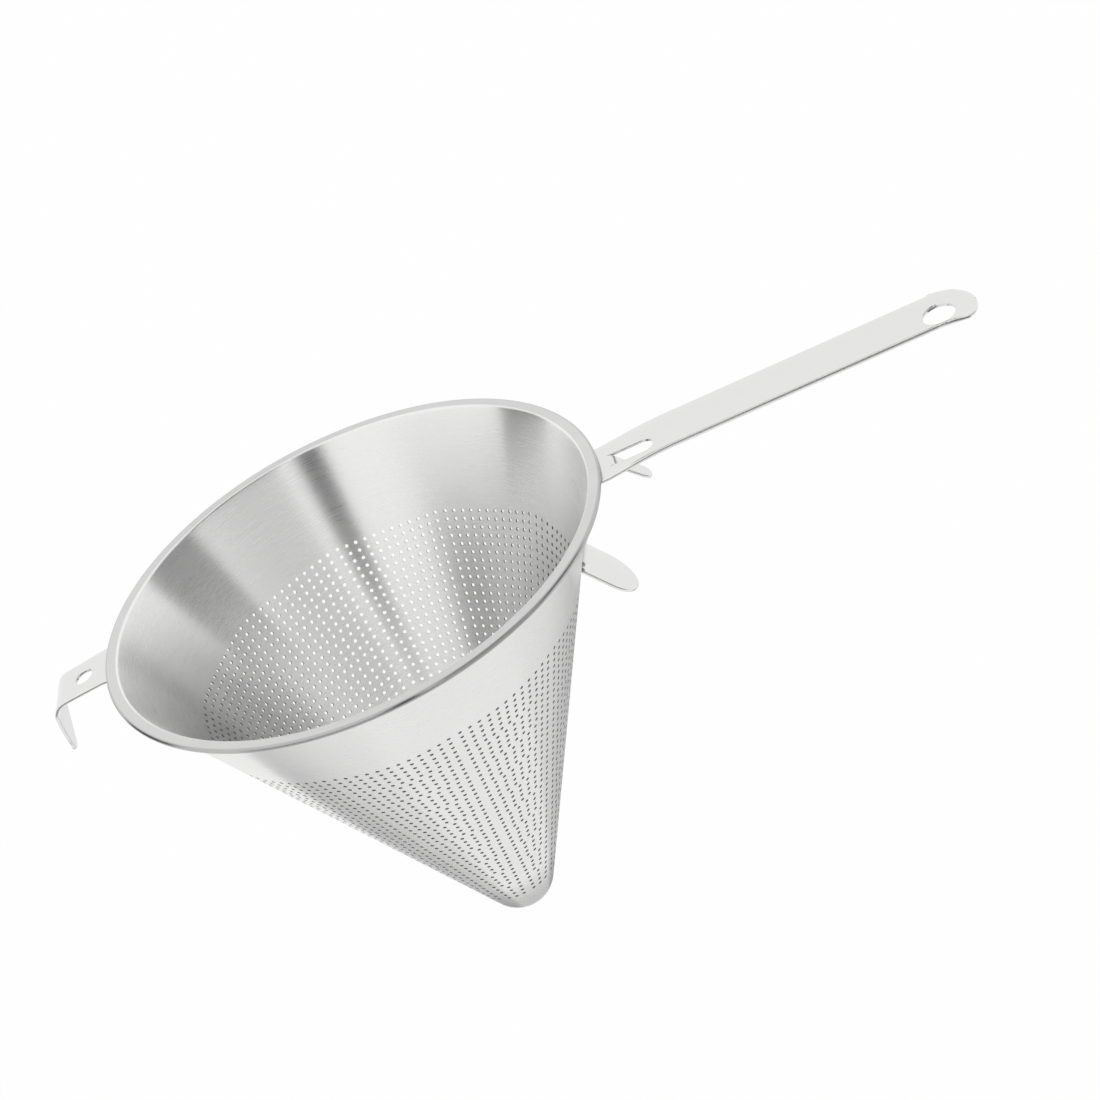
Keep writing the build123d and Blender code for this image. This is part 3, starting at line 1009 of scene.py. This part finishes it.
class STRAINER_OT_tip(bpy.types.Operator):
    """Make the domed tip cap and the weld that joins it to the wall"""

    bl_idname = "strainer.tip"
    bl_label = "Tip Cap and Weld"

    def execute(self, context):
        cone = strainer().cone
        tangent = cone.dome_radius / tan(half_angle(cone))
        joint = tangent + cone.cap_skirt
        profile = self.cap_side(cone, joint, tangent, 0.0)
        profile += reversed(self.cap_side(cone, joint, tangent, cone.sheet))
        cap = turned_shell("domed_cap", profile, CAP_COLUMNS)
        settle(cap, "brushed_sheet", "satin_steel", "tip_cap")
        weld = turned_shell("cap_weld", self.weld_profile(cone, joint), CAP_COLUMNS)
        settle(weld, "brushed_seam", "weld_steel", "tip_weld")
        return {"FINISHED"}

    def cap_side(self, cone, joint, tangent, inset):
        """One face of the cap, from the weld down its skirt and round the dome to the axis."""
        half = half_angle(cone)
        centre = cone.dome_radius / sin(half) - cone.apex_depth
        radius = cone.dome_radius - inset
        steps = 16
        turns = [(pi / 2 - half) * step / steps for step in range(steps, -1, -1)]
        skirt = [cone_point(cone, joint, inset), cone_point(cone, (joint + tangent) / 2, inset)]
        return skirt + [(radius * sin(turn), centre - radius * cos(turn)) for turn in turns]

    def weld_profile(self, cone, joint):
        """Section of the weld, flush inside and very slightly crowned outside."""
        crown = cone.weld_gap / 16
        steps = 6
        outer = []
        for way in (step / steps for step in range(steps + 1)):
            outer.append(cone_point(cone, joint + cone.weld_gap * way, -crown * sin(pi * way)))
        inner = [cone_point(cone, joint + cone.weld_gap * way, cone.sheet) for way in (1.0, 0.5, 0.0)]
        return outer + inner


class HandleShape:
    """Route, width and turned-up edges of the handle's strip, from the leaf's tip to the round end."""

    def __init__(self, cone, strip):
        self.cone = cone
        self.strip = strip
        self.land_end = cone.rim_radius + strip.root_land
        self.end_x = cone.rim_radius + strip.reach
        top = strip_top(cone, strip)
        bend = Vector((wall_radius(cone, strip.leaf_depth), -strip.leaf_depth))
        tip = bend + strip.leaf_length * Vector((cos(strip.leaf_slope), -sin(strip.leaf_slope)))
        under_rim = (wall_radius(cone, -top), top)
        corners = [tip, bend, under_rim, (self.land_end, top), (self.end_x, self.floor(self.end_x))]
        self.route = Route(corners, (strip.leaf_bend, strip.root_bend, strip.floor_bend))

    def floor(self, x):
        """Height of the handle's floor at x."""
        return strip_top(self.cone, self.strip) + max(x - self.land_end, 0.0) * tan(self.strip.floor_slope)

    def half_width(self, x):
        """The strip draws in a little where its edges are turned up."""
        strip = self.strip
        up = smooth_step((x - self.land_end) / strip.root_ramp)
        up *= smooth_step((self.end_x - x) / strip.end_ramp)
        return strip.width / 2 - up * (strip.width - strip.trough_width) / 2

    def outline(self, distance):
        """Half width at a distance from the leaf's tip."""
        strip = self.strip
        x = self.route.at(distance)[0].x
        if distance < strip.width / 2:
            return round_tip(strip.width / 2, distance)
        if x < self.end_x - strip.end_radius or distance < self.route.length / 2:
            return self.half_width(x)
        end = closest_of(strip.width / 2, round_tip(strip.end_radius, self.end_x - x), strip.end_blend)
        return max(end, LEAST_HALF_WIDTH)

    def rise(self, distance, x, across):
        """Height and slope of the turned-up edges."""
        strip, rim = self.strip, self.cone.rim_radius
        over = abs(across) - strip.floor_flat / 2
        if over <= 0 or x < rim or distance < self.route.length / 4:
            return 0.0, 0.0
        way = min((x - rim) / strip.root_ramp, 1.0)
        up = strip.edge_rise * way * (1 + way - way * way)
        up *= smooth_step((self.end_x + strip.ramp_overrun - x) / (strip.end_ramp + strip.ramp_overrun))
        first = (strip.edge_knee - strip.floor_flat) / 2
        bow = self.half_width(x) - strip.edge_knee / 2 - first
        at = over / (2 * first)
        if abs(bow) > SAME_PLACE:
            at = (sqrt(first * first + bow * over) - first) / bow
        slope = up * at / (first + bow * at)
        return up * at * at, slope if across > 0 else -slope


class STRAINER_OT_handle(bpy.types.Operator):
    """Make the one-piece strip: rest leaf, root plate, slotted land, trough handle"""

    bl_idname = "strainer.handle"
    bl_label = "Handle Strip"

    def execute(self, context):
        cone, strip = strainer().cone, strainer().strip
        shape = HandleShape(cone, strip)
        stations = strip_marks(shape.route, HANDLE_STEP, strip.end_radius, strip.width / 2)
        piece = strip_piece("handle_strip", shape.route, stations, strip.sheet, shape.outline, shape.rise)
        hole_x = shape.end_x - strip.end_radius
        slot_x = cone.rim_radius + strip.slot_reach
        hole = flared_cutter(
            round_outline(strip.hole_diameter / 2), on_slope(hole_x, shape.floor(hole_x), strip.floor_slope)
        )
        slot = flared_cutter(
            slot_outline(strip.slot_length, strip.slot_width / 2),
            on_slope(slot_x, shape.floor(slot_x), strip.floor_slope),
        )
        cut_and_smooth(piece, hole, slot)
        tongue = self.tongue(strip, shape, slot_x)
        cut_and_smooth(tongue)
        join_to(piece, tongue)
        settle(piece, "polished_strip", "polished_steel", "handle")
        return {"FINISHED"}

    def tongue(self, strip, shape, slot_x):
        """Tongue bent down out of the slot, joined at the slot's inner end."""
        sunk = 0.02 * MILLIMETRE
        start, corner = slot_x - strip.sheet, slot_x + strip.sheet
        low = Vector((corner, shape.floor(corner) - sunk))
        tip = low + Vector((cos(strip.tongue_slope), -sin(strip.tongue_slope))) * strip.tongue_length
        route = Route([(start, shape.floor(start) - sunk), low, tip], (strip.tongue_bend,))
        half = strip.slot_width / 2 - strip.tongue_kerf

        def outline(distance):
            return round_tip(half, route.length - distance)

        stations = strip_marks(route, FINE_STEP, half)
        return strip_piece("tongue", route, stations, strip.sheet - 2 * sunk, outline)


class STRAINER_OT_hook(bpy.types.Operator):
    """Make the rest hook opposite the handle"""

    bl_idname = "strainer.hook"
    bl_label = "Rest Hook"

    def execute(self, context):
        cone, strip, hook = strainer().cone, strainer().strip, strainer().hook
        top = strip_top(cone, strip)
        land_end = cone.rim_radius + strip.root_land
        bend_x = cone.rim_radius + hook.reach
        bend_z = top - (bend_x - land_end) * tan(hook.slope)
        corners = [
            (wall_radius(cone, hook.tab_depth), -hook.tab_depth),
            (wall_radius(cone, -top), top),
            (land_end, top),
            (bend_x, bend_z),
            (bend_x + (hook.tip_depth + bend_z) * tan(hook.leg_tilt), -hook.tip_depth),
        ]
        route = Route(corners, (strip.root_bend, strip.root_bend, hook.bend))

        def outline(distance):
            point = route.at(distance)[0]
            root, narrow = hook.root_width / 2, hook.bend_width / 2
            if point.x < cone.rim_radius:
                return root
            way = min((point.x - cone.rim_radius) / (hook.reach - hook.bend), 1.0)
            wide = root + (narrow - root) * way
            below = -point.y - hook.taper_depth
            if below <= 0:
                return wide
            left = hook.tip_depth - hook.taper_depth - below
            if left < hook.tip_radius:
                return round_tip(hook.tip_radius, left)
            fall = hook.tip_depth - hook.taper_depth - hook.tip_radius
            return wide + (hook.tip_radius - wide) * (below / fall) ** hook.leg_power

        stations = strip_marks(route, FINE_STEP, hook.tip_radius / cos(hook.leg_tilt))
        piece = strip_piece("rest_hook_strip", route, stations, strip.sheet, outline)
        hole_x = cone.rim_radius + hook.hole_reach
        hole_z = top - (hole_x - land_end) * tan(hook.slope)
        hole_place = on_slope(hole_x, hole_z, -hook.slope)
        cut_and_smooth(piece, flared_cutter(round_outline(hook.hole_diameter / 2), hole_place))
        piece.data.transform(Matrix.Rotation(pi, 4, "Z"))
        settle(piece, "polished_strip", "polished_steel", "rest_hook")
        return {"FINISHED"}


def weld_beads(maker, given):
    """Sets one lumpy weld bead on every point, each turned a little differently."""
    bead = maker.term("GeometryNodeMeshIcoSphere", {}, {"Radius": given["Radius"], "Subdivisions": 4})
    place = maker.term("GeometryNodeInputPosition", {}, {})
    lump = (maker.noise(place, 900.0, 2.0) - 0.55) * 0.35
    shift = maker.term("ShaderNodeVectorMath", {"operation": "SCALE"}, {0: place, "Scale": lump})
    bead = maker.shape("GeometryNodeSetPosition", bead, Offset=shift)
    bead = maker.shape("GeometryNodeSetShadeSmooth", bead)
    full_turn = 6.28
    values = {0: (0.0, 0.0, 0.0), 1: (full_turn, full_turn, full_turn), "Seed": given["Seed"]}
    spin = maker.term("FunctionNodeRandomValue", {"data_type": "FLOAT_VECTOR"}, values)
    values = {"Points": given["Points"], "Instance": bead, "Rotation": spin}
    return maker.term("GeometryNodeInstanceOnPoints", {}, values)


class STRAINER_OT_tacks(bpy.types.Operator):
    """Make the tack welds along the edges of both strips"""

    bl_idname = "strainer.tacks"
    bl_label = "Tack Welds"

    def execute(self, context):
        strip, hook, tack = strainer().strip, strainer().hook, strainer().tack
        values = {"Radius": tack.radius, "Seed": tack.seed, "Material": material("weld_bead")}
        tree = node_tree("tack_welds", weld_beads, values, takes_points=True)
        handle_spots = self.spots((tack.handle_top, tack.handle_mid, tack.handle_low), strip.width, 1)
        hook_spots = self.spots((tack.hook_top, tack.hook_low), hook.root_width, -1)
        welds = (
            ("handle_tacks", handle_spots, "handle_tack_welds"),
            ("hook_tacks", hook_spots, "hook_tack_welds"),
        )
        for name, spots, node in welds:
            mesh = bpy.data.meshes.new(name)
            mesh.from_pydata(spots, [], [])
            piece = new_object(name, mesh)
            grow(piece, tree, values)
            settle(piece, "weld_bead", "weld_steel", node)
        return {"FINISHED"}

    def spots(self, depths, width, side):
        """Middles of the tacks: at each depth, one on both edges of a strip of this width."""
        cone, stand = strainer().cone, strainer().tack.stand
        half = half_angle(cone)
        found = []
        for depth in depths:
            radius = wall_radius(cone, depth) + stand * cos(half)
            for edge in (-width / 2, width / 2):
                x = side * sqrt(radius * radius - edge * edge)
                found.append((x, edge, -depth - stand * sin(half)))
        return found


# Grey cards round the object: name, azimuth, elevation, width and height in degrees, and grey
CARDS = (
    ("camera_side_card", -85.0, 24.0, 13.0, 80.0, 0.0),
    ("handle_side_card", -3.0, 14.0, 32.0, 56.0, 0.18),
    ("hook_side_card", 163.0, 5.0, 27.0, 44.0, 0.02),
    ("high_card", -37.0, 48.0, 62.0, 36.0, 0.0),
    ("front_card", -83.0, -16.0, 130.0, 28.0, 0.22),
    ("low_left_card", 155.0, -63.0, 50.0, 24.0, 0.45),
    ("low_right_card", 66.0, -50.0, 50.0, 34.0, 0.45),
)


def seen(maker):
    """1 for what the camera, a reflection or a glass sees, and 0 for light that falls on things."""
    path = maker.node("ShaderNodeLightPath", {}, {})
    kinds = ("Is Camera Ray", "Is Glossy Ray", "Is Transmission Ray")
    camera, glossy, passed = (Term(maker, path.outputs[kind]) for kind in kinds)
    return maker.share(camera + glossy + passed)


class STRAINER_OT_stage(bpy.types.Operator):
    """Set the camera, the floor and the light"""

    bl_idname = "strainer.stage"
    bl_label = "Stage"

    def execute(self, context):
        stage, scene = strainer().stage, context.scene
        white = opaque(strainer().finish.floor)
        scene.view_settings.view_transform = "Standard"
        scene.camera = self.camera(stage)
        self.floor(stage, white)
        for name, azimuth, elevation, wide, tall, grey in CARDS:
            reach = stage.high_reach if elevation > 0 else stage.low_reach
            self.card(name, reach, radians(azimuth), radians(elevation), radians(wide), radians(tall), grey)
        scene.world = self.world(stage, white)
        return {"FINISHED"}

    def camera(self, stage):
        """A camera that looks at the aim from its distance, side and height, and is rolled."""
        data = bpy.data.cameras.new("view")
        data.lens = stage.focal
        data.sensor_width = stage.sensor
        data.sensor_fit = "HORIZONTAL"
        data.clip_end = stage.far_limit
        eye = new_object("view", data)
        level = cos(stage.elevation)
        towards = Vector((level * cos(stage.azimuth), level * sin(stage.azimuth), sin(stage.elevation)))
        turn = towards.to_track_quat("Z", "Y").to_matrix() @ Matrix.Rotation(-stage.roll, 3, "Z")
        eye.matrix_world = Matrix.Translation(Vector(stage.aim) + towards * stage.distance) @ turn.to_4x4()
        return eye

    def floor(self, stage, white):
        """A floor that looks white and keeps the object's shadow."""
        half, depth = stage.floor_half, -stage.floor_depth
        corners = [(-half, -half, depth), (half, -half, depth), (half, half, depth), (-half, half, depth)]
        mesh = bpy.data.meshes.new("floor")
        mesh.from_pydata(corners, [], [(0, 1, 2, 3)])
        surface, maker = fresh_material("floor")
        matt = maker.term("ShaderNodeBsdfDiffuse", {}, {"Color": white})
        lit = maker.term("ShaderNodeEmission", {}, {"Color": white, "Strength": 1.0})
        mixed = maker.term("ShaderNodeMixShader", {}, {0: seen(maker) * stage.floor_glow, 1: matt, 2: lit})
        maker.node("ShaderNodeOutputMaterial", {}, {"Surface": mixed})
        mesh.materials.append(surface)
        new_object("floor", mesh)

    def card(self, name, reach, azimuth, elevation, wide, tall, grey):
        """A grey card far off, seen only in reflections, bowed round the object."""
        columns = 12
        points = []
        for column in range(columns + 1):
            turn = azimuth + wide * (column / columns - 0.5)
            for lift in (elevation - tall / 2, elevation + tall / 2):
                level = reach * cos(lift)
                points.append((level * cos(turn), level * sin(turn), reach * sin(lift)))
        faces = [(2 * step, 2 * step + 1, 2 * step + 3, 2 * step + 2) for step in range(columns)]
        mesh = bpy.data.meshes.new(name)
        mesh.from_pydata(points, [], faces)
        surface, maker = fresh_material(name)
        glow = maker.term("ShaderNodeEmission", {}, {"Color": (grey, grey, grey, 1), "Strength": 1.0})
        maker.node("ShaderNodeOutputMaterial", {}, {"Surface": glow})
        mesh.materials.append(surface)
        piece = new_object(name, mesh)
        piece.visible_camera = False
        piece.visible_diffuse = False
        piece.visible_shadow = False
        piece.visible_transmission = False

    def world(self, stage, white):
        """White wherever it is seen, and a little weaker as the light that falls on things."""
        world = bpy.data.worlds.new("studio")
        world.use_nodes = True
        world.node_tree.nodes.clear()
        maker = Maker(world.node_tree)
        strength = stage.light + seen(maker) * (1 - stage.light)
        back = maker.term("ShaderNodeBackground", {}, {"Color": white, "Strength": strength})
        maker.node("ShaderNodeOutputWorld", {}, {"Surface": back})
        return world


class STRAINER_PT_panel(bpy.types.Panel):
    """Lists the steps that build the strainer"""

    bl_idname = "STRAINER_PT_panel"
    bl_label = "Strainer"
    bl_space_type = "VIEW_3D"
    bl_region_type = "UI"
    bl_category = "Strainer"

    def draw(self, context):
        for step in STEPS:
            self.layout.operator(step.bl_idname)


class StrainerSettings(bpy.types.PropertyGroup):
    """All the sizes and colours"""

    cone: PointerProperty(type=ConeSizes)
    holes: PointerProperty(type=HoleSizes)
    strip: PointerProperty(type=StripSizes)
    hook: PointerProperty(type=HookSizes)
    tack: PointerProperty(type=TackSizes)
    finish: PointerProperty(type=Finishes)
    shade_zones: PointerProperty(type=PaintedShadeZones)
    stage: PointerProperty(type=StageSizes)


GROUPS = (
    ConeSizes,
    HoleSizes,
    StripSizes,
    HookSizes,
    TackSizes,
    Finishes,
    PaintedShadeZones,
    StageSizes,
    StrainerSettings,
)
STEPS = (
    STRAINER_OT_wall,
    STRAINER_OT_tip,
    STRAINER_OT_handle,
    STRAINER_OT_hook,
    STRAINER_OT_tacks,
    STRAINER_OT_stage,
)


def register():
    for kind in GROUPS + STEPS + (STRAINER_PT_panel,):
        bpy.utils.register_class(kind)
    bpy.types.Scene.strainer = PointerProperty(type=StrainerSettings)


def unregister():
    del bpy.types.Scene.strainer
    for kind in reversed(GROUPS + STEPS + (STRAINER_PT_panel,)):
        bpy.utils.unregister_class(kind)


def main():
    """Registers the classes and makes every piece."""
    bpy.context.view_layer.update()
    register()
    bpy.ops.strainer.wall()
    bpy.ops.strainer.tip()
    bpy.ops.strainer.handle()
    bpy.ops.strainer.hook()
    bpy.ops.strainer.tacks()
    bpy.ops.strainer.stage()


if __name__ == "__main__":
    main()
